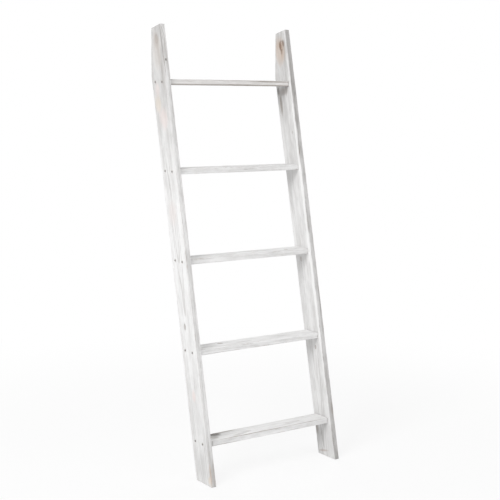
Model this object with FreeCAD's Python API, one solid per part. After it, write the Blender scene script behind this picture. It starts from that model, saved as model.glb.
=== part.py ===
import FreeCAD, Part
import math
import os

# A leaning blanket ladder of whitewashed boards: two side rails, five level rungs, and two
# wire nails driven through the rail into each end of each rung.
# Millimetres. +X runs across the ladder, +Y back to the wall, +Z up. The origin is on the
# floor, midway between the rails and midway between the toes and the wall.

# Stance and overall size
LEAN_ANGLE = 12.0        # of the rails from plumb, in degrees
LADDER_WIDTH = 520.0     # outside to outside of the rails

# Side rails
RAIL_LENGTH = 1500.0     # up the front edge, from toe to tip
RAIL_WIDTH = 90.0        # from front edge to back edge
RAIL_THICKNESS = 19.0
TIP_WIDTH = 58.0         # of the square-cut top end, in front of the wall cut
RAIL_CHAMFER = 1.5       # taken off the long edges

# Rungs
RUNG_COUNT = 5
RUNG_WIDTH = 70.0        # from front to back
RUNG_THICKNESS = 19.0
RUNG_SETBACK = 15.0      # lower front edge of a rung behind the rails' front edges
FIRST_RUNG_RISE = 126.0  # lower front edge of the lowest rung, up the rail from the toe
LAST_RUNG_DROP = 198.0   # lower front edge of the highest rung, down the rail from the tip
RUNG_CHAMFER = 1.5       # taken off the long edges

# Round wire nails
NAIL_SPACING = 44.0      # between the two nails of a joint, centred on the rung's width
NAIL_LENGTH = 65.0       # from under the head to the tip
NAIL_DIAMETER = 2.8
NAIL_HEAD_DIAMETER = 6.0
NAIL_HEAD_THICKNESS = 1.0
NAIL_POINT_LENGTH = 4.5  # of the four-sided point

# Nail holes
NAIL_CLEARANCE = 0.05    # around the shank
NAIL_MARGIN = 1.0        # of the hole past the tip

LEAN = math.radians(LEAN_ANGLE)
RUNG_LENGTH = LADDER_WIDTH - 2 * RAIL_THICKNESS
RUNG_PITCH = (RAIL_LENGTH - FIRST_RUNG_RISE - LAST_RUNG_DROP) / (RUNG_COUNT - 1)


def rail_point(rise, behind):
    """Y and Z of a point on the side of a rail whose toe is at the start: its distance up
    the front edge, and its distance behind that edge."""
    y = rise * math.sin(LEAN) + behind * math.cos(LEAN)
    z = rise * math.cos(LEAN) - behind * math.sin(LEAN)
    return (y, z)


def rail_outline():
    """The rail from the side: level on the floor, plumb against the wall, square at the tip."""
    heel_rise = RAIL_WIDTH * math.tan(LEAN)
    wall_cut_drop = (RAIL_WIDTH - TIP_WIDTH) / math.tan(LEAN)
    return [
        rail_point(0, 0),
        rail_point(heel_rise, RAIL_WIDTH),
        rail_point(RAIL_LENGTH - wall_cut_drop, RAIL_WIDTH),
        rail_point(RAIL_LENGTH, TIP_WIDTH),
        rail_point(RAIL_LENGTH, 0),
    ]


def mid_depth():
    """Y midway between the ladder's foremost and rearmost points."""
    depths = [y for y, z in rail_outline()]
    return (min(depths) + max(depths)) / 2


def chamfered(board, size, is_taken):
    """A board with the sharp corner planed off each edge for which is_taken is true."""
    edges = [edge for edge in board.Edges if is_taken(edge)]
    return board.makeChamfer(size, edges)


def runs_across(edge):
    """Whether an edge lies along X."""
    ends = [vertex.Point for vertex in edge.Vertexes]
    return abs((ends[1] - ends[0]).x) > 0.5 * edge.Length


def rail_board(inner_x, outer_x):
    """One rail before boring, between its inner and its outer face."""
    corners = [FreeCAD.Vector(inner_x, y - mid_depth(), z) for y, z in rail_outline()]
    side = Part.Face(Part.makePolygon(corners + corners[:1]))
    board = side.extrude(FreeCAD.Vector(outer_x - inner_x, 0, 0))
    return chamfered(board, RAIL_CHAMFER, lambda edge: not runs_across(edge))


def rung_corner(index):
    """Y and Z of the lower front edge of a rung, counted up from 0 for the lowest."""
    y, z = rail_point(FIRST_RUNG_RISE + index * RUNG_PITCH, RUNG_SETBACK)
    return (y - mid_depth(), z)


def rung_board(index):
    """One rung before boring: level, and as long as the space between the rails."""
    y, z = rung_corner(index)
    corner = FreeCAD.Vector(-RUNG_LENGTH / 2, y, z)
    board = Part.makeBox(RUNG_LENGTH, RUNG_WIDTH, RUNG_THICKNESS, corner)
    return chamfered(board, RUNG_CHAMFER, runs_across)


def gable(shoulder, tip, reach):
    """A block along X that is as wide as twice reach and closes like a roof from the depth of
    its shoulder to its tip, with depth along -Z."""
    outline = [
        FreeCAD.Vector(-reach, -reach, 0),
        FreeCAD.Vector(-reach, reach, 0),
        FreeCAD.Vector(-reach, reach, -shoulder),
        FreeCAD.Vector(-reach, 0, -tip),
        FreeCAD.Vector(-reach, -reach, -shoulder),
    ]
    end = Part.Face(Part.makePolygon(outline + outline[:1]))
    return end.extrude(FreeCAD.Vector(2 * reach, 0, 0))


def nail():
    """One nail, head up: the underside of its head at the start, and its shank along -Z to a
    point with four flats."""
    down = FreeCAD.Vector(0, 0, -1)
    start = FreeCAD.Vector(0, 0, 0)
    shank = Part.makeCylinder(NAIL_DIAMETER / 2, NAIL_LENGTH, start, down)
    one_way = gable(NAIL_LENGTH - 2 * NAIL_POINT_LENGTH, NAIL_LENGTH, NAIL_DIAMETER)
    other_way = one_way.copy()
    other_way.rotate(start, down, 90)
    head = Part.makeCylinder(NAIL_HEAD_DIAMETER / 2, NAIL_HEAD_THICKNESS)
    return head.fuse(shank.common(one_way).common(other_way))


def nail_hole():
    """The hole of one nail, from the rail's outer face at the start on into the rung."""
    radius = NAIL_DIAMETER / 2 + NAIL_CLEARANCE
    top = FreeCAD.Vector(0, 0, NAIL_MARGIN)
    depth = NAIL_MARGIN + NAIL_LENGTH + NAIL_MARGIN
    return Part.makeCylinder(radius, depth, top, FreeCAD.Vector(0, 0, -1))


def at_joint(tool, index, side):
    """Copies of a nail or a hole at both nail places of a joint, their start on the rail's
    outer face. side is -1 for the left rail and 1 for the right one."""
    y, z = rung_corner(index)
    outward = FreeCAD.Rotation(FreeCAD.Vector(0, 0, 1), FreeCAD.Vector(side, 0, 0))
    copies = []
    for step in (-1, 1):
        place = FreeCAD.Vector(
            side * LADDER_WIDTH / 2,
            y + RUNG_WIDTH / 2 + step * NAIL_SPACING / 2,
            z + RUNG_THICKNESS / 2,
        )
        copy = tool.copy()
        copy.Placement = FreeCAD.Placement(place, outward)
        copies.append(copy)
    return copies


def bored(board, holes):
    """A board with its nail holes cut, as one solid."""
    return board.cut(holes).Solids[0]


def make_rail(side):
    """The left rail for side -1 and the right rail for side 1, bored for every rung."""
    inner_x = side * (LADDER_WIDTH / 2 - RAIL_THICKNESS)
    outer_x = side * LADDER_WIDTH / 2
    holes = []
    for index in range(RUNG_COUNT):
        holes += at_joint(nail_hole(), index, side)
    return bored(rail_board(inner_x, outer_x), holes)


def make_rung(index):
    """One rung, bored at both ends."""
    holes = at_joint(nail_hole(), index, -1) + at_joint(nail_hole(), index, 1)
    return bored(rung_board(index), holes)


def make_nails(index, side):
    """The two nails of one joint, as separate solids."""
    return Part.makeCompound(at_joint(nail(), index, side))


def make_parts():
    """Every sub-part by its name. Rungs are numbered up from the lowest."""
    parts = {}
    for side_name, side in (("left", -1), ("right", 1)):
        parts["rail_" + side_name] = make_rail(side)
        for index in range(RUNG_COUNT):
            parts["nails_" + side_name + "_rung_" + str(index + 1)] = make_nails(index, side)
    for index in range(RUNG_COUNT):
        parts["rung_" + str(index + 1)] = make_rung(index)
    return parts


os.makedirs("parts", exist_ok=True)
for name, shape in make_parts().items():
    shape.exportStep("parts/" + name + ".step")
    print(name, len(shape.Solids), "solid(s)", round(shape.Volume), "mm3")
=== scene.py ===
import math

import bmesh
import bpy
from mathutils import Euler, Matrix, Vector, noise


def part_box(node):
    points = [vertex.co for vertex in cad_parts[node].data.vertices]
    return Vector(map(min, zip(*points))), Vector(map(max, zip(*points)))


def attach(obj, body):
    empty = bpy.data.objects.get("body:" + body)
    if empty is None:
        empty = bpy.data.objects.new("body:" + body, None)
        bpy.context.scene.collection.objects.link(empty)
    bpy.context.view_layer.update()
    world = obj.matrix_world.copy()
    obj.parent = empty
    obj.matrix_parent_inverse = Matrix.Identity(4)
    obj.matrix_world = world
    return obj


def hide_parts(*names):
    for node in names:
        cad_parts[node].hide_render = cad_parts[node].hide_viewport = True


# A leaning blanket ladder of whitewashed boards. Metres, in the frame of the model: +X across
# the ladder, +Y back to the wall, +Z up, the floor at Z = 0.
#
# A place on a board is given along it, across it and into it. On a rail that is up from the
# foot, back from the front edge and in from the outer face. On a rung it is from the left end,
# back from the front edge and up from the underside.

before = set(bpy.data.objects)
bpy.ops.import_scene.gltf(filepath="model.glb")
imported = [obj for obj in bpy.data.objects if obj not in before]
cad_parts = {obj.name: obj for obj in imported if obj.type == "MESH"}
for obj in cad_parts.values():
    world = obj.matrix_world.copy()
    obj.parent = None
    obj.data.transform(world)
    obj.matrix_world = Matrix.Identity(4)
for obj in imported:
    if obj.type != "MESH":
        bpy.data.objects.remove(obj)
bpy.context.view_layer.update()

# The rails as they are cut
LEAN = math.radians(12.0)      # of the rails from plumb
RAIL_WIDTH = 0.090             # from front edge to back edge
TIP_WIDTH = 0.058              # of the square-cut top end

# The mesh of a board
ARRIS_ROUND = 0.0018           # radius of a worn edge
GRAIN_STEP = 0.0022            # mesh size across the grain
LENGTH_STEP = 0.010            # mesh size along the grain
MERGE = 0.00002                # points nearer than this become one

# How the boards are worn
RELIEF = 0.00022               # depth of the raised grain
DENT = 0.0005                  # depth of the shallow waves that planing left
NICK = 0.0014                  # depth of the nicks along the edges
SMALL_NICKS = 0.6              # how deep the small nicks are against the large ones
ARRIS_REACH = 0.006            # how far from an edge its wear goes
ARRIS_BARE = 0.55              # how bare an edge is where it has no nick

# The waves of that wear: length, width, and what keeps each noise apart from the others
NICK_WAVE = (0.045, 0.05, 0.0)
SMALL_NICK_WAVE = (0.011, 0.03, 5.0)
RELIEF_WAVE = (0.16, 0.0045, 11.0)
DENT_WAVE = (0.23, 0.06, 23.0)

# The camera, as the photograph has it
CAMERA_PLACE = (-2.0629, -3.0236, 1.2219)
CAMERA_TURN = (82.252, -0.228, -34.409)      # degrees about X, Y and Z
IMAGE_SIZE = 500.0             # pixels
FOCAL_PIXELS = 1100.0
SENSOR = 36.0                  # millimetres


# ---------------------------------------------------------------- boards

def rail_outline(length):
    """Corners of a rail's side: level at the foot, plumb at the wall, square at the tip."""
    return [
        (0.0, 0.0),
        (RAIL_WIDTH * math.tan(LEAN), RAIL_WIDTH),
        (length - (RAIL_WIDTH - TIP_WIDTH) / math.tan(LEAN), RAIL_WIDTH),
        (length, TIP_WIDTH),
        (length, 0.0),
    ]


def prism(outline, thickness):
    """A bmesh board: the outline in X and Y, its thickness along Z."""
    work = bmesh.new()
    low = [work.verts.new((along, across, 0.0)) for along, across in outline]
    high = [work.verts.new((along, across, thickness)) for along, across in outline]
    work.faces.new(low[::-1])
    work.faces.new(high)
    count = len(outline)
    for i in range(count):
        j = (i + 1) % count
        work.faces.new((low[i], low[j], high[j], high[i]))
    bmesh.ops.recalc_face_normals(work, faces=work.faces)
    return work


def slice_mesh(work, axis, step):
    """Cuts a mesh by parallel planes, about one step apart."""
    places = [vert.co[axis] for vert in work.verts]
    low, high = min(places), max(places)
    count = max(2, round((high - low) / step))
    normal = [0.0, 0.0, 0.0]
    normal[axis] = 1.0
    for i in range(1, count):
        point = Vector((0.0, 0.0, 0.0))
        point[axis] = low + (high - low) * i / count
        geometry = work.verts[:] + work.edges[:] + work.faces[:]
        bmesh.ops.bisect_plane(work, geom=geometry, plane_co=point, plane_no=normal)


def streak(place, wave, seed):
    """Noise in -1 to 1 that is drawn out along the grain."""
    along, across, apart = wave
    start = seed + apart
    return noise.noise(Vector((place.x / along + start, place.y / across, place.z / across)))


def wear(place, width, thickness, seed):
    """How near a point is to a long edge, from 0 to 1, and how deep the edge is nicked there."""
    side = min(place.y, width - place.y)
    face = min(place.z, thickness - place.z)
    near = max(0.0, 1.0 - math.hypot(max(side, 0.0), max(face, 0.0)) / ARRIS_REACH)
    rough = streak(place, NICK_WAVE, seed) + SMALL_NICKS * streak(place, SMALL_NICK_WAVE, seed)
    return near, near * max(0.0, rough)


def weather(work, width, thickness, seed):
    """Pushes a board's points inwards: raised grain, shallow waves and nicked edges. Returns
    how worn the edge is at each point."""
    worn = []
    moves = []
    centre = Vector((0.0, width / 2, thickness / 2))
    work.normal_update()
    for vert in work.verts:
        near, nick = wear(vert.co, width, thickness, seed)
        grain = 0.5 + 0.5 * streak(vert.co, RELIEF_WAVE, seed)
        wave = 0.5 + 0.5 * streak(vert.co, DENT_WAVE, seed)
        inwards = centre - vert.co
        inwards.x = 0.0
        inwards.normalize()
        moves.append(inwards * nick * NICK - vert.normal * (grain * RELIEF + wave * DENT))
        worn.append(near * (ARRIS_BARE + nick))
    for vert, move in zip(work.verts, moves):
        vert.co += move
    return worn


def keep_vectors(mesh, name, vectors):
    """Keeps a vector for each point of a mesh, which its material can read by name."""
    parts = [part for vector in vectors for part in vector]
    mesh.attributes.new(name, "FLOAT_VECTOR", "POINT")
    mesh.attributes[name].data.foreach_set("vector", parts)


def keep_values(mesh, name, values):
    """Keeps a number for each point of a mesh, which its material can read by name."""
    mesh.attributes.new(name, "FLOAT", "POINT")
    mesh.attributes[name].data.foreach_set("value", values)


def turn_outwards(mesh):
    """Turns the faces of a closed mesh outwards."""
    work = bmesh.new()
    work.from_mesh(mesh)
    bmesh.ops.recalc_face_normals(work, faces=work.faces)
    work.to_mesh(mesh)
    work.free()


def board(name, outline, thickness, to_frame, seed, material):
    """A worn board. Its points keep their place on the board before it was worn, how much they
    face along it, across it and out of it, and how worn the edge is. to_frame puts a point of
    the board into the frame."""
    width = max(across for along, across in outline)
    work = prism(outline, thickness)
    bmesh.ops.bevel(work, geom=work.edges[:], offset=ARRIS_ROUND, segments=2, affect="EDGES",
                    profile=0.5, clamp_overlap=True)
    slice_mesh(work, 0, LENGTH_STEP)
    slice_mesh(work, 1, GRAIN_STEP)
    slice_mesh(work, 2, GRAIN_STEP)
    bmesh.ops.remove_doubles(work, verts=work.verts[:], dist=MERGE)
    work.normal_update()
    places = [vert.co.copy() for vert in work.verts]
    facings = [Vector([abs(part) for part in vert.normal]) for vert in work.verts]
    worn = weather(work, width, thickness, seed)

    mesh = bpy.data.meshes.new(name)
    work.to_mesh(mesh)
    work.free()
    keep_vectors(mesh, "place", places)
    keep_vectors(mesh, "facing", facings)
    keep_values(mesh, "arris", worn)
    for vert in mesh.vertices:
        vert.co = to_frame(vert.co)
    turn_outwards(mesh)
    for polygon in mesh.polygons:
        polygon.use_smooth = True
    mesh.materials.append(material)
    piece = bpy.data.objects.new(name, mesh)
    bpy.context.scene.collection.objects.link(piece)
    return piece


def rail(side_name, side, seed, material):
    """One rail, in the place of its node. side is -1 for the left rail and 1 for the right."""
    low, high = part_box("rail_" + side_name)
    outer_x = low.x if side < 0 else high.x
    length = high.z / math.cos(LEAN)

    def to_frame(point):
        x = outer_x - side * point.z
        y = low.y + point.x * math.sin(LEAN) + point.y * math.cos(LEAN)
        z = point.x * math.cos(LEAN) - point.y * math.sin(LEAN)
        return Vector((x, y, z))

    piece = board("board_rail_" + side_name, rail_outline(length), high.x - low.x, to_frame,
                  seed, material)
    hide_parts("rail_" + side_name)
    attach(piece, "root")


def rung(number, seed, material):
    """One rung, in the place of its node."""
    node = "rung_" + str(number)
    low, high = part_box(node)
    size = high - low
    outline = [(0.0, 0.0), (size.x, 0.0), (size.x, size.y), (0.0, size.y)]
    piece = board("board_" + node, outline, size.z, lambda point: low + point, seed, material)
    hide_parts(node)
    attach(piece, "root")


# ---------------------------------------------------------------- nodes

COLOUR_INPUTS = (6, 7)         # where a Mix node takes its two colours
COLOUR_OUTPUT = 2              # and where it gives the one between them


def new_material(name):
    """An empty node material, and its tree."""
    material = bpy.data.materials.new(name)
    material.use_nodes = True
    material.node_tree.nodes.clear()
    return material, material.node_tree


def add(tree, kind, settings=None, **inputs):
    """Adds a node. An input is named, with _ for a space, or numbered, as in _0. Its value is
    what it is set to, or the socket that it is linked from."""
    made = tree.nodes.new(kind)
    for key, value in (settings or {}).items():
        setattr(made, key, value)
    for key, value in inputs.items():
        socket = made.inputs[int(key[1:]) if key[0] == "_" else key.replace("_", " ")]
        if isinstance(value, bpy.types.NodeSocket):
            tree.links.new(value, socket)
        else:
            socket.default_value = value
    return made


def math_node(tree, operation, first, second=0.0, clamp=False):
    """The result of a Math node."""
    settings = {"operation": operation, "use_clamp": clamp}
    return add(tree, "ShaderNodeMath", settings, _0=first, _1=second).outputs[0]


def vector_outputs(tree, operation, *inputs):
    """The outputs of a Vector Math node."""
    numbered = {"_" + str(index): value for index, value in enumerate(inputs)}
    return add(tree, "ShaderNodeVectorMath", {"operation": operation}, **numbered).outputs


def vector_node(tree, operation, *inputs):
    """The vector that a Vector Math node gives."""
    return vector_outputs(tree, operation, *inputs)["Vector"]


def vector_value(tree, operation, *inputs):
    """The number that a Vector Math node gives, such as a length."""
    return vector_outputs(tree, operation, *inputs)["Value"]


def combined(tree, x, y, z):
    """A vector made of three numbers."""
    return add(tree, "ShaderNodeCombineXYZ", {}, _0=x, _1=y, _2=z).outputs[0]


def split(tree, vector):
    """The three numbers that a vector is made of."""
    return add(tree, "ShaderNodeSeparateXYZ", {}, _0=vector).outputs


def inverse(tree, value):
    """What is missing from 1."""
    return math_node(tree, "SUBTRACT", 1.0, value)


def product(tree, first, *others):
    """All the factors multiplied."""
    for other in others:
        first = math_node(tree, "MULTIPLY", first, other)
    return first


def weighted(tree, parts):
    """The sum of sockets or numbers, each times its weight."""
    total = 0.0
    for socket, weight in parts:
        total = add(tree, "ShaderNodeMath", {"operation": "MULTIPLY_ADD"}, _0=socket, _1=weight,
                    _2=total).outputs[0]
    return total


def between(tree, value, low, high):
    """0 below low, 1 above high, smooth between them."""
    made = add(tree, "ShaderNodeMapRange", {"interpolation_type": "SMOOTHSTEP"},
               Value=value, From_Min=low, From_Max=high)
    return made.outputs["Result"]


def rescaled(tree, value, source, target):
    """A value that lies in the source range, put in the same place of the target range."""
    made = add(tree, "ShaderNodeMapRange", {}, Value=value, From_Min=source[0],
               From_Max=source[1], To_Min=target[0], To_Max=target[1])
    return made.outputs["Result"]


def mixed(tree, share, first, second, blend="MIX"):
    """A colour between two colours. A colour is a socket or red, green and blue."""
    settings = {"data_type": "RGBA", "blend_type": blend, "clamp_factor": True}
    made = add(tree, "ShaderNodeMix", settings, _0=share)
    for place, colour in zip(COLOUR_INPUTS, (first, second)):
        if isinstance(colour, bpy.types.NodeSocket):
            tree.links.new(colour, made.inputs[place])
        else:
            made.inputs[place].default_value = (*colour, 1.0)
    return made.outputs[COLOUR_OUTPUT]


def seen_outright(tree):
    """1 for what the camera sees straight, in gloss or through glass, and 0 for what only
    lights something else."""
    path = add(tree, "ShaderNodeLightPath").outputs
    seen = math_node(tree, "MAXIMUM", path["Is Camera Ray"], path["Is Glossy Ray"])
    return math_node(tree, "MAXIMUM", seen, path["Is Transmission Ray"])


def finish_material(tree, colour, rough, bump, metallic=0.0):
    """Ends a material in a shader with that colour, roughness and bump."""
    shader = add(tree, "ShaderNodeBsdfPrincipled", {}, Base_Color=colour, Roughness=rough,
                 Metallic=metallic, Normal=bump.outputs[0])
    add(tree, "ShaderNodeOutputMaterial", {}, Surface=shader.outputs[0])


# ---------------------------------------------------------------- wood

WASH = (0.88, 0.878, 0.876)
THIN_WASH = (0.60, 0.592, 0.582)
GREYED_WOOD = (0.38, 0.355, 0.335)
BARE_WOOD = (0.34, 0.29, 0.24)
CRACK = (0.12, 0.10, 0.09)
AGED = (0.50, 0.490, 0.482)    # what an aged board's colour is multiplied by
UNAGED = (1.0, 1.0, 1.0)

# Stains, and the colours that some spots below also use as painted shade
KNOT = (0.13, 0.065, 0.035)
KNOT_WOOD = (0.36, 0.25, 0.18)
BARK = (0.10, 0.075, 0.06)
RESIN = (0.50, 0.34, 0.23)
HONEY = (0.76, 0.65, 0.53)
BLUSH = (0.78, 0.67, 0.64)
# brown of stains, also painted shade under the rungs
UMBER = (0.30, 0.26, 0.23)
# grey of stains and darker tone, also painted shade under the rungs
GREY_STAIN_AND_SHADOW = (0.34, 0.33, 0.32)
# near black of stains, also painted shade right under the top rung
SOOT_AND_SHADOW = (0.07, 0.055, 0.045)
TAN = (0.60, 0.55, 0.51)
RUSSET = (0.36, 0.24, 0.18)
RUST = (0.38, 0.31, 0.26)

# The noises of the grain: length and width of one wave, what keeps the noise apart from the
# others, detail and roughness. The patches lie on the board, and the rest bend with its grain.
GRAIN_WAVES = {
    "broad": (0.34, 0.020, 0.0, 2.0, 0.5),
    "middle": (0.15, 0.0060, 5.0, 2.0, 0.5),
    "fine": (0.07, 0.0022, 3.0, 3.0, 0.6),
    "hair": (0.03, 0.0007, 7.0, 3.0, 0.7),
}
PATCH_WAVE = (0.055, 0.022, 13.0, 5.0, 0.65)
SHIFT_WAYS = (1.0, 0.7, -1.0)  # how a shift moves a noise along the board, across and into it

# How far the grain wanders across a board and into it, and how many times a metre
GRAIN_DRIFT = (0.0, 0.018, 0.010)
DRIFT_SCALE = (3.0, 14.0, 14.0)

# What is mixed from the noises, each with its weight. The level, 1 everywhere, raises or
# lowers the whole.
WORN = {"patch": 0.45, "middle": 0.25, "fine": 0.30, "arris": 0.12}
UNEVEN_AGE = {"patch": 0.8, "broad": 0.5, "level": 0.35}
RAGGED_RIM = {"fine": 0.9, "patch": 0.8, "level": -0.85}
STREAKS = {"fine": 0.9, "hair": 0.5, "level": 0.30}
RELIEF_MIX = {"middle": 0.25, "fine": 0.35, "hair": 0.25, "late": 0.15}

# What the paint lets through, from the first layer to the last: its mix, the values of the mix
# at which it starts and is whole, its strength and its colour
PAINT_LAYERS = [
    ({"broad": 0.26, "patch": 0.40, "middle": 0.19, "fine": 0.15, "late": 0.07},
     (0.42, 0.62), 0.70, THIN_WASH),
    ({"late": 0.34, "fine": 0.36, "middle": 0.30}, (0.44, 0.70), 0.60, GREYED_WOOD),
    (WORN, (0.59, 0.70), 0.75, BARE_WOOD),
    ({"middle": 0.45, "fine": 0.30, "hair": 0.25}, (0.60, 0.67), 0.75, CRACK),
]
FACE_SHOWS = 0.60              # how much of the layers shows on the wide faces, with no cover
OPEN_GRAIN_SHOWS = 0.24        # and how much more on the sides and ends
SIDE_TURN = (0.45, 0.85)       # from where to where a worn corner counts as the narrow side
END_TURN = (0.5, 0.9)          # and as the end

# Year rings
RING = 0.0034                  # width of one
LATE_STARTS = (0.25, 0.82)     # where in a ring its dark line comes in
LATE_ENDS = (0.86, 1.0)        # and where it stops
RING_CHANGE = 0.37             # how fast the lines' strength changes from ring to ring
RING_STRENGTH = (0.30, 0.62)   # values of that change at which a line starts and is whole

# Where on a board's length the ageing of its start gives way to that of its middle, and where
# that gives way to the end's
START_TO_MIDDLE = (0.02, 0.32)
MIDDLE_TO_END = (0.55, 0.97)

# Grain round a knot
BEND_SLENDER = 0.4             # width of the bent stretch as a share of its length
BEND_FADE = (0.4, 4.0)         # from where to where the bend fades, in radii
BEND = 0.8                     # how strong the bend is, from 0 to 1

# The eye of a knot, with the places on it in radii
EYE_SLENDER = 0.62             # width as a share of its length
EYE_RAGGED = 0.5               # how ragged its outline is
EYE_RINGS = 17.0               # how close its rings are
RING_TURN = (-0.6, 0.9)        # where in the wave of the rings the wood turns dark
EYE_ENDS = (0.86, 1.06)
BARK_STARTS = (0.72, 0.92)
BARK_ENDS = (0.98, 1.25)

# Spots and nail stains
SPOT_FADE = (0.40, 1.08)       # where in a spot's reach it starts to fade and is gone
NAIL_STAIN = (0.0085, 0.0055, 0.003)     # how far it reaches along, across and into the rail
NAIL_STAIN_STRENGTH = 0.7

# Surface
GRAIN_BUMP = 0.0008            # height of the finest grain
GRAIN_BUMP_STRENGTH = 0.55
WORN_RANGE = (0.35, 0.75)      # values of the worn mix, from sound paint to worn
WOOD_ROUGH = (0.62, 0.86)      # and the roughness that goes with them


def grain_noise(tree, place, wave, shift):
    """Noise drawn out along the grain. wave is a row of the table above, and shift keeps the
    board's noise apart from the other boards'."""
    along, across, apart, detail, rough = wave
    scale = (1.0 / along, 1.0 / across, 1.0 / across)
    start = tuple((shift + apart) * way for way in SHIFT_WAYS)
    scaled = vector_node(tree, "MULTIPLY_ADD", place, scale, start)
    return add(tree, "ShaderNodeTexNoise", {}, Vector=scaled, Scale=1.0, Detail=detail,
               Roughness=rough).outputs[0]


def late_wood(tree, place, pith):
    """1 in the dark line of each year ring. pith is where the tree's middle lies at the start
    of the board, across it and into it, and how far it drifts each way by the metre."""
    across, deep, drift_across, drift_deep = pith
    side = vector_value(tree, "DOT_PRODUCT", place, (-drift_across, 1.0, 0.0))
    front = vector_value(tree, "DOT_PRODUCT", place, (-drift_deep, 0.0, 1.0))
    side = math_node(tree, "SUBTRACT", side, across)
    front = math_node(tree, "SUBTRACT", front, deep)
    radius = vector_value(tree, "LENGTH", combined(tree, 0.0, side, front))
    turns = math_node(tree, "DIVIDE", radius, RING)
    part = math_node(tree, "FRACT", turns)
    starts = between(tree, part, *LATE_STARTS)
    line = product(tree, starts, inverse(tree, between(tree, part, *LATE_ENDS)))
    strength = add(tree, "ShaderNodeTexNoise", {"noise_dimensions": "1D"}, W=turns,
                   Scale=RING_CHANGE, Detail=2.0).outputs[0]
    return product(tree, line, between(tree, strength, *RING_STRENGTH))


def round_knots(tree, place, knots):
    """Spreads the grain apart round each knot. knots lists place along, place across, radius
    and how much of the knot shows through the paint."""
    for along, across, radius, _ in knots:
        offset = vector_node(tree, "SUBTRACT", place, (along, across, 0.0))
        scale = (BEND_SLENDER / radius, 1.0 / radius, 0.0)
        far = vector_value(tree, "LENGTH", vector_node(tree, "MULTIPLY", offset, scale))
        near = inverse(tree, between(tree, far, *BEND_FADE))
        pull = vector_node(tree, "MULTIPLY", offset, (0.0, -BEND, 0.0))
        pull = add(tree, "ShaderNodeVectorMath", {"operation": "SCALE"}, _0=pull, Scale=near)
        place = vector_node(tree, "ADD", place, pull.outputs[0])
    return place


def make_grains(tree, raw, shift, pith, knots):
    """Every noise of a board by its name, with the wear of its edges and the year rings. raw is
    the place on the board, and place is raw as the grain bends it."""
    scaled = vector_node(tree, "MULTIPLY_ADD", raw, DRIFT_SCALE, (shift, 0.0, 0.0))
    drift = add(tree, "ShaderNodeTexNoise", {}, Vector=scaled, Scale=1.0, Detail=2.0)
    place = vector_node(tree, "MULTIPLY_ADD", drift.outputs["Color"], GRAIN_DRIFT, raw)
    place = round_knots(tree, place, knots)
    grains = {name: grain_noise(tree, place, wave, shift) for name, wave in GRAIN_WAVES.items()}
    grains["patch"] = grain_noise(tree, raw, PATCH_WAVE, shift)
    grains["late"] = late_wood(tree, place, pith)
    grains["arris"] = add(tree, "ShaderNodeAttribute", {"attribute_name": "arris"}).outputs["Fac"]
    grains["level"] = 1.0
    return grains


def mix_of(tree, grains, weights):
    """The sum of some of the noises, each times its weight."""
    return weighted(tree, [(grains[name], weight) for name, weight in weights.items()])


def along_board(tree, along, values, length):
    """A value that goes from the first of three at the board's start to the last at its end."""
    start, middle, end = values
    rise = between(tree, along, *[share * length for share in START_TO_MIDDLE])
    fall = between(tree, along, *[share * length for share in MIDDLE_TO_END])
    return weighted(tree, [(rise, middle - start), (fall, end - middle), (1.0, start)])


def painted(tree, grains, strength):
    """White paint, with what it lets through."""
    colour = WASH
    for weights, span, share, tint in PAINT_LAYERS:
        amount = between(tree, mix_of(tree, grains, weights), *span)
        colour = mixed(tree, product(tree, amount, strength, share), colour, tint)
    return colour


def aged(tree, colour, grains, amount):
    """A colour gone grey by that amount, unevenly."""
    amount = math_node(tree, "MULTIPLY", amount, mix_of(tree, grains, UNEVEN_AGE), clamp=True)
    return mixed(tree, 1.0, colour, mixed(tree, amount, UNAGED, AGED), "MULTIPLY")


def spot(tree, place, centre, size, ragged):
    """1 in the middle of an egg-shaped spot and 0 outside it."""
    offset = vector_node(tree, "SUBTRACT", place, centre)
    far = vector_value(tree, "LENGTH", vector_node(tree, "DIVIDE", offset, size))
    far = math_node(tree, "ADD", far, ragged)
    return inverse(tree, between(tree, far, *SPOT_FADE))


def knot_eye(tree, place, knot, ragged, colour):
    """The colour with one knot in it: rings of dark wood inside a darker rim of bark."""
    along, across, radius, shows = knot
    offset = vector_node(tree, "SUBTRACT", place, (along, across, 0.0))
    scale = (EYE_SLENDER / radius, 1.0 / radius, 0.0)
    far = vector_value(tree, "LENGTH", vector_node(tree, "MULTIPLY", offset, scale))
    far = weighted(tree, [(far, 1.0), (ragged, EYE_RAGGED)])
    wave = math_node(tree, "SINE", math_node(tree, "MULTIPLY", far, EYE_RINGS))
    wood_colour = mixed(tree, between(tree, wave, *RING_TURN), KNOT_WOOD, KNOT)
    eye = inverse(tree, between(tree, far, *EYE_ENDS))
    rim_starts = between(tree, far, *BARK_STARTS)
    rim = product(tree, rim_starts, inverse(tree, between(tree, far, *BARK_ENDS)))
    colour = mixed(tree, product(tree, eye, shows), colour, wood_colour)
    return mixed(tree, product(tree, rim, shows), colour, BARK)


def nail_stains(tree, place, nails, pitch):
    """1 in the rusty ring round each nail, on the face at depth 0. nails lists the lowest
    joint's nails, which come again at every pitch."""
    along, across, depth = split(tree, place)
    total = 0.0
    for start, side in nails:
        folded = add(tree, "ShaderNodeMath", {"operation": "WRAP"}, _0=along,
                     _1=start + pitch / 2, _2=start - pitch / 2).outputs[0]
        at_nail = combined(tree, folded, across, depth)
        stain = spot(tree, at_nail, (start, side, 0.0), NAIL_STAIN, 0.0)
        total = math_node(tree, "MAXIMUM", total, stain)
    return total


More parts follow.
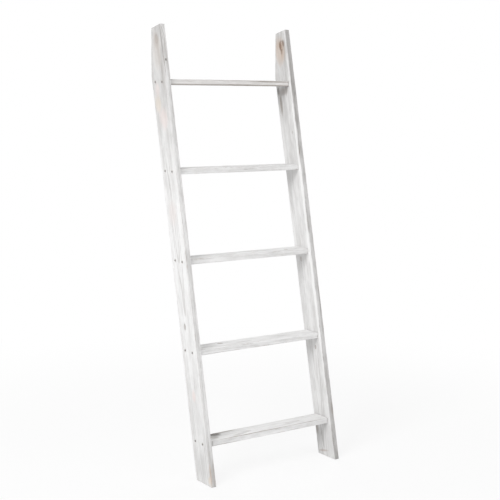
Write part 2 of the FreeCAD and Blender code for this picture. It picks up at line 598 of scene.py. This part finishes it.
def stained(tree, colour, grains, raw, knots, spots, nails):
    """The colour with the board's stains, painted shade, painted highlight, knots and nail rings
    in it.
    """
    ragged = mix_of(tree, grains, RAGGED_RIM)
    streaks = mix_of(tree, grains, STREAKS)
    for centre, size, tint, strength in spots:
        share = product(tree, spot(tree, raw, centre, size, ragged), streaks, strength)
        colour = mixed(tree, share, colour, tint)
    for knot in knots:
        colour = knot_eye(tree, raw, knot, ragged, colour)
    if nails:
        share = product(tree, nail_stains(tree, raw, *nails), grains["patch"],
                        NAIL_STAIN_STRENGTH)
        colour = mixed(tree, share, colour, RUST)
    return colour


def wood(name, shift, length, pith, cover, aged_faces, aged_sides, knots, spots, nails=None):
    """Whitewashed board. shift keeps its noises apart from the other boards'. pith is as in
    late_wood. cover is how much of the wood the paint hides. The two aged values say how grey
    the wide faces and the narrow sides are, from 0 to 1, at the board's start, middle and end.
    knots is as in round_knots. spots lists stains, painted shade and a painted highlight as
    centre, size, colour and strength. nails is what nail_places gives."""
    material, tree = new_material(name)
    raw = add(tree, "ShaderNodeAttribute", {"attribute_name": "place"}).outputs["Vector"]
    facing = add(tree, "ShaderNodeAttribute", {"attribute_name": "facing"}).outputs["Vector"]
    facing_along, facing_across, _ = split(tree, facing)
    side = between(tree, facing_across, *SIDE_TURN)
    end = between(tree, facing_along, *END_TURN)
    open_grain = math_node(tree, "MAXIMUM", side, end)
    shows = 1.0 - cover
    strength = weighted(tree, [(open_grain, OPEN_GRAIN_SHOWS * shows),
                               (1.0, FACE_SHOWS * shows)])
    grains = make_grains(tree, raw, shift, pith, knots)
    colour = painted(tree, grains, strength)

    along = split(tree, raw)[0]
    faces_age = along_board(tree, along, aged_faces, length)
    sides_age = along_board(tree, along, aged_sides, length)
    age = add(tree, "ShaderNodeMix", {"data_type": "FLOAT"}, _0=side, _2=faces_age,
              _3=sides_age).outputs[0]
    colour = aged(tree, colour, grains, age)
    colour = stained(tree, colour, grains, raw, knots, spots, nails)

    bump = add(tree, "ShaderNodeBump", {}, Strength=GRAIN_BUMP_STRENGTH, Distance=GRAIN_BUMP,
               Height=mix_of(tree, grains, RELIEF_MIX))
    rough = rescaled(tree, mix_of(tree, grains, WORN), WORN_RANGE, WOOD_ROUGH)
    finish_material(tree, colour, rough, bump)
    return material


# ---------------------------------------------------------------- nails and floor

IRON = (0.26, 0.255, 0.25)
RUSTED_IRON = (0.21, 0.17, 0.14)
RUST_CLOUDS = 420.0            # noise scale, so that a cloud is about 2 mm wide
RUST_EDGE = (0.45, 0.62)       # values of the clouds at which rust starts and is whole
CLOUD_RANGE = (0.3, 0.7)       # values of the clouds, from clean to rusted
IRON_ROUGH = (0.45, 0.8)       # and the roughness that goes with them
PITS = 0.0002                  # depth of the pits in the iron

FLOOR_WHITE = (0.9, 0.9, 0.9, 1.0)
WHITE = (1.0, 1.0, 1.0, 1.0)
FLOOR_REACH = 30.0             # from the ladder to the floor's edges
FLOOR_FADE = (0.7, 2.2)        # how far off the floor starts to whiten and is white
NEAR_WHITE = 0.82              # how much plain white is mixed into the floor at the ladder


def nail_iron():
    """Dull, dark nail heads with a little rust."""
    material, tree = new_material("nail_iron")
    place = add(tree, "ShaderNodeTexCoord").outputs["Object"]
    cloud = add(tree, "ShaderNodeTexNoise", {}, Vector=place, Scale=RUST_CLOUDS, Detail=4.0,
                Roughness=0.65).outputs[0]
    colour = mixed(tree, between(tree, cloud, *RUST_EDGE), IRON, RUSTED_IRON)
    rough = rescaled(tree, cloud, CLOUD_RANGE, IRON_ROUGH)
    bump = add(tree, "ShaderNodeBump", {}, Strength=0.4, Distance=PITS, Height=cloud)
    finish_material(tree, colour, rough, bump, metallic=0.3)
    return material


def floor_material():
    """White floor that takes the ladder's shadow and fades to plain white away from it."""
    material, tree = new_material("floor_white")
    place = add(tree, "ShaderNodeTexCoord").outputs["Object"]
    far = vector_value(tree, "LENGTH", place)
    plain = add(tree, "ShaderNodeBsdfDiffuse", {}, Color=FLOOR_WHITE).outputs[0]
    white = add(tree, "ShaderNodeEmission", {}, Color=WHITE, Strength=1.0).outputs[0]
    share = rescaled(tree, between(tree, far, *FLOOR_FADE), (0.0, 1.0), (NEAR_WHITE, 1.0))
    seen = add(tree, "ShaderNodeMixShader", {}, _0=share, _1=plain, _2=white).outputs[0]
    both = add(tree, "ShaderNodeMixShader", {}, _0=seen_outright(tree), _1=plain, _2=seen)
    add(tree, "ShaderNodeOutputMaterial", {}, Surface=both.outputs[0])
    return material


# ---------------------------------------------------------------- stage

WORLD_LIGHT = 0.47             # strength of the even light from all round
WORLD_SEEN = 1.0               # and of the background, which is white
LAMP_AIM = (0.0, 0.0, 0.75)    # mid-height of the ladder
LAMPS = {                      # place, width and power in watts
    "key": ((-4.0, -1.6, 3.6), 2.5, 158.0),
    "fill": ((0.8, -4.5, 2.2), 3.0, 39.0),
    "side": ((4.4, 0.9, 1.0), 2.5, 70.0),
    "back": ((0.6, 4.6, 1.3), 2.5, 50.0),
}


def make_floor():
    """A wide floor under the ladder's feet."""
    corners = [
        (-FLOOR_REACH, -FLOOR_REACH, 0.0),
        (FLOOR_REACH, -FLOOR_REACH, 0.0),
        (FLOOR_REACH, FLOOR_REACH, 0.0),
        (-FLOOR_REACH, FLOOR_REACH, 0.0),
    ]
    mesh = bpy.data.meshes.new("floor")
    mesh.from_pydata(corners, [], [(0, 1, 2, 3)])
    mesh.materials.append(floor_material())
    floor = bpy.data.objects.new("floor", mesh)
    bpy.context.scene.collection.objects.link(floor)


def make_world():
    """Even light from all round, and a white background to the eye."""
    world = bpy.data.worlds.new("studio")
    bpy.context.scene.world = world
    world.use_nodes = True
    tree = world.node_tree
    tree.nodes.clear()
    strength = rescaled(tree, seen_outright(tree), (0.0, 1.0), (WORLD_LIGHT, WORLD_SEEN))
    light = add(tree, "ShaderNodeBackground", {}, Color=WHITE, Strength=strength)
    add(tree, "ShaderNodeOutputWorld", {}, Surface=light.outputs[0])


def make_lamps():
    """The lamps, large and square, turned to the ladder."""
    for name, (place, width, power) in LAMPS.items():
        data = bpy.data.lights.new(name, "AREA")
        data.shape = "SQUARE"
        data.size = width
        data.energy = power
        lamp = bpy.data.objects.new(name, data)
        lamp.location = place
        aim = Vector(LAMP_AIM) - Vector(place)
        lamp.rotation_euler = aim.to_track_quat("-Z", "Y").to_euler()
        bpy.context.scene.collection.objects.link(lamp)


def make_camera():
    """The camera, where the photograph was taken from."""
    data = bpy.data.cameras.new("camera")
    data.sensor_width = SENSOR
    data.lens = FOCAL_PIXELS / IMAGE_SIZE * SENSOR
    camera = bpy.data.objects.new("camera", data)
    camera.location = CAMERA_PLACE
    camera.rotation_euler = Euler([math.radians(angle) for angle in CAMERA_TURN])
    bpy.context.scene.collection.objects.link(camera)
    bpy.context.scene.camera = camera


# ---------------------------------------------------------------- the ladder's boards

def nail_places(side_name):
    """Where the lowest joint's two nails are on a rail, along and across it, and how far up
    the rail the next joint is."""
    rail_low, rail_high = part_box("rail_" + side_name)

    def on_rail(y, z):
        y -= rail_low.y
        return (y * math.sin(LEAN) + z * math.cos(LEAN), y * math.cos(LEAN) - z * math.sin(LEAN))

    low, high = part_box("nails_" + side_name + "_rung_1")
    next_low, next_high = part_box("nails_" + side_name + "_rung_2")
    z = (low.z + high.z) / 2
    radius = (high.z - low.z) / 2
    places = [on_rail(low.y + radius, z), on_rail(high.y - radius, z)]
    return places, (next_low.z - low.z) / math.cos(LEAN)


def box_size(node):
    """How far a node reaches along X, Y and Z."""
    low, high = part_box(node)
    return high - low


RAIL_LENGTH = box_size("rail_left").z / math.cos(LEAN)
RUNG_LENGTH = box_size("rung_1").x
INNER = box_size("rail_left").x      # depth of a rail's inner face
TOP = box_size("rung_1").z           # height of a rung's upper face

# Knots: place along, place across, radius, and how much shows through the paint.
# Spots: centre, reach each way, colour and strength. Those at 0 across are on the front edge.
LEFT_KNOTS = [
    (1.457, 0.031, 0.009, 0.10),
    (0.517, 0.055, 0.005, 0.30),
    (0.905, 0.024, 0.004, 0.06),
]
LEFT_SPOTS = [
    ((1.452, 0.033, 0.0), (0.032, 0.020, 0.004), UMBER, 0.46),
    ((1.405, 0.028, 0.0), (0.045, 0.007, 0.004), UMBER, 0.25),
    ((1.420, 0.036, 0.0), (0.075, 0.032, 0.004), TAN, 0.40),
    ((1.340, 0.014, 0.0), (0.070, 0.010, 0.004), UMBER, 0.20),
    ((1.440, 0.0015, 0.0), (0.075, 0.0025, 0.003), SOOT_AND_SHADOW, 0.50),
    ((1.295, 0.060, 0.0), (0.030, 0.018, 0.004), BLUSH, 0.40),
    ((1.250, 0.064, 0.0), (0.034, 0.026, 0.004), HONEY, 0.42),
    ((1.200, 0.042, 0.0), (0.045, 0.034, 0.004), BLUSH, 0.50),
    ((0.885, 0.052, 0.0), (0.050, 0.030, 0.004), BLUSH, 0.28),
    ((0.517, 0.055, 0.0), (0.016, 0.008, 0.004), GREY_STAIN_AND_SHADOW, 0.45),
    ((0.292, 0.047, 0.0), (0.024, 0.014, 0.004), BLUSH, 0.55),
    ((0.240, 0.045, 0.0), (0.050, 0.026, 0.004), GREY_STAIN_AND_SHADOW, 0.13),
    ((0.070, 0.040, 0.0), (0.055, 0.030, 0.004), GREY_STAIN_AND_SHADOW, 0.16),
    ((0.022, 0.008, 0.0), (0.018, 0.008, 0.004), HONEY, 0.55),
    ((1.382, 0.0, 0.009), (0.006, 0.004, 0.0045), SOOT_AND_SHADOW, 0.72),
    ((1.410, 0.0, 0.012), (0.070, 0.004, 0.004), UMBER, 0.26),
    ((0.040, 0.0, 0.002), (0.045, 0.005, 0.005), RESIN, 0.40),
    ((0.036, 0.0, 0.014), (0.060, 0.004, 0.007), UMBER, 0.44),
]
RIGHT_KNOTS = [
    (1.450, 0.030, 0.011, 0.24),
    (0.700, 0.060, 0.005, 0.24),
    (0.390, 0.036, 0.004, 0.40),
]
RIGHT_SPOTS = [
    ((1.434, 0.042, INNER), (0.060, 0.033, 0.006), RESIN, 0.56),
    ((1.420, 0.052, INNER), (0.040, 0.017, 0.006), TAN, 0.55),
    ((1.452, 0.037, INNER), (0.019, 0.009, 0.006), KNOT, 0.66),
    ((1.456, 0.019, INNER), (0.015, 0.007, 0.006), KNOT, 0.62),
    ((1.430, 0.033, INNER), (0.014, 0.006, 0.006), KNOT, 0.45),
    # painted shade right under the top rung, darkest at the back edge
    ((1.299, 0.079, INNER), (0.018, 0.009, 0.006), SOOT_AND_SHADOW, 0.58),
    ((1.250, 0.071, INNER), (0.046, 0.008, 0.006), UMBER, 0.80),
    # painted shade right under the top rung
    ((1.291, 0.052, INNER), (0.017, 0.034, 0.006), UMBER, 0.50),
    # painted shade on the inner face below the top rung
    ((1.230, 0.058, INNER), (0.070, 0.022, 0.006), GREY_STAIN_AND_SHADOW, 0.22),
    ((1.142, 0.025, INNER), (0.007, 0.005, 0.006), UMBER, 0.40),
    ((0.030, 0.058, INNER), (0.005, 0.030, 0.006), RUSSET, 0.40),
    # painted shade below the lowest rung, on the inner face
    ((0.085, 0.050, INNER), (0.110, 0.062, 0.006), GREY_STAIN_AND_SHADOW, 0.20),
    # painted shade right under the lowest rung, at the back edge
    ((0.108, 0.082, INNER), (0.026, 0.010, 0.006), UMBER, 0.50),
    # painted highlight: paint white laid in a strip along the front edge of the inner face
    ((0.800, 0.006, INNER), (0.720, 0.009, 0.006), WASH, 0.80),
    ((1.470, 0.0, 0.010), (0.080, 0.004, 0.010), GREY_STAIN_AND_SHADOW, 0.40),
    ((1.350, 0.0, 0.013), (0.130, 0.004, 0.004), GREY_STAIN_AND_SHADOW, 0.60),
    ((1.190, 0.0, 0.012), (0.060, 0.004, 0.004), GREY_STAIN_AND_SHADOW, 0.60),
    ((0.175, 0.0, 0.006), (0.032, 0.004, 0.005), UMBER, 0.60),
]
RUNG_KNOTS = {
    1: [(0.330, 0.030, 0.005, 0.10)],
    2: [(0.110, 0.048, 0.006, 0.45)],
    3: [(0.400, 0.020, 0.005, 0.35)],
    4: [(0.210, 0.050, 0.007, 0.40)],
    5: [(0.060, 0.040, 0.005, 0.40)],
}
RUNG_SPOTS = {
    1: [
        # a dark patch at the back of the left end of the upper face, next to the left rail
        ((0.052, 0.058, TOP), (0.028, 0.024, 0.006), SOOT_AND_SHADOW, 0.75),
        ((0.090, 0.065, TOP), (0.060, 0.009, 0.006), UMBER, 0.60),
        ((0.036, 0.030, TOP), (0.018, 0.016, 0.006), UMBER, 0.45),
        ((0.180, 0.0, TOP), (0.210, 0.004, 0.0022), UMBER, 0.75),
        ((0.390, 0.0, TOP), (0.110, 0.004, 0.0020), UMBER, 0.45),
        # painted shade where the rung meets the left rail, at its left end
        ((0.010, 0.0, 0.009), (0.004, 0.004, 0.014), GREY_STAIN_AND_SHADOW, 0.60),
    ],
    5: [
        ((0.241, 0.0, 0.0095), (0.700, 0.004, 0.014), TAN, 0.28),
        # painted shade: a dark band on the underside and the foot of the front face, for the
        # shaded underside
        ((0.241, 0.0, 0.0), (0.700, 0.030, 0.0058), UMBER, 0.85),
        ((0.270, 0.0, TOP), (0.340, 0.003, 0.0030), UMBER, 0.50),
        ((0.420, 0.0, 0.0148), (0.120, 0.003, 0.0026), UMBER, 0.85),
    ],
}

# What keeps the noise of one board apart from the others'
LEFT_SEED = 3.7
RIGHT_SEED = 8.2
RUNG_SHAPE_SEEDS = (11.3, 4.1)       # of rung 0, were there one, and the step to the next
RUNG_PAINT_STEP = 5.9


def make_rails():
    """The two rails. Both are greyest at the tip, and the right one's edges are greyer than the
    left one's. The right one's faces are greyer in the middle, partly as painted shade for its
    inner face between the rails."""
    left_wood = wood("wood_rail_left", LEFT_SEED, RAIL_LENGTH, cover=0.0,
                     pith=(0.040, -0.050, 0.02, 0.02),
                     aged_faces=(0.24, 0.03, 0.60), aged_sides=(0.35, 0.20, 0.32),
                     knots=LEFT_KNOTS, spots=LEFT_SPOTS, nails=nail_places("left"))
    right_wood = wood("wood_rail_right", RIGHT_SEED, RAIL_LENGTH, cover=0.0,
                      pith=(0.060, 0.065, -0.015, -0.02),
                      # the right rail's faces are greyed partly as painted shade, for the inner
                      # face between the rails
                      aged_faces=(0.18, 0.24, 0.52), aged_sides=(0.84, 0.58, 0.92),
                      knots=RIGHT_KNOTS, spots=RIGHT_SPOTS, nails=nail_places("right"))
    rail("left", -1, LEFT_SEED, left_wood)
    rail("right", 1, RIGHT_SEED, right_wood)


def make_rungs():
    """The five rungs, each sawn a little further to one side of the tree's middle."""
    first_seed, seed_step = RUNG_SHAPE_SEEDS
    for number, knots in RUNG_KNOTS.items():
        pith = (0.020 + 0.006 * number, -0.060, 0.03, -0.02)
        rung_wood = wood("wood_rung_" + str(number), RUNG_PAINT_STEP * number, RUNG_LENGTH,
                         cover=0.15, pith=pith, aged_faces=(0.06, 0.0, 0.06),
                         aged_sides=(0.04, 0.0, 0.04), knots=knots,
                         spots=RUNG_SPOTS.get(number, ()))
        rung(number, first_seed + seed_step * number, rung_wood)


def dress_nails():
    """Gives every nail the iron material."""
    iron = nail_iron()
    for node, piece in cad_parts.items():
        if node.startswith("nails_"):
            piece.data.materials.clear()
            piece.data.materials.append(iron)


make_rails()
make_rungs()
dress_nails()
make_camera()
make_floor()
make_world()
make_lamps()
bpy.context.scene.view_settings.view_transform = "Standard"
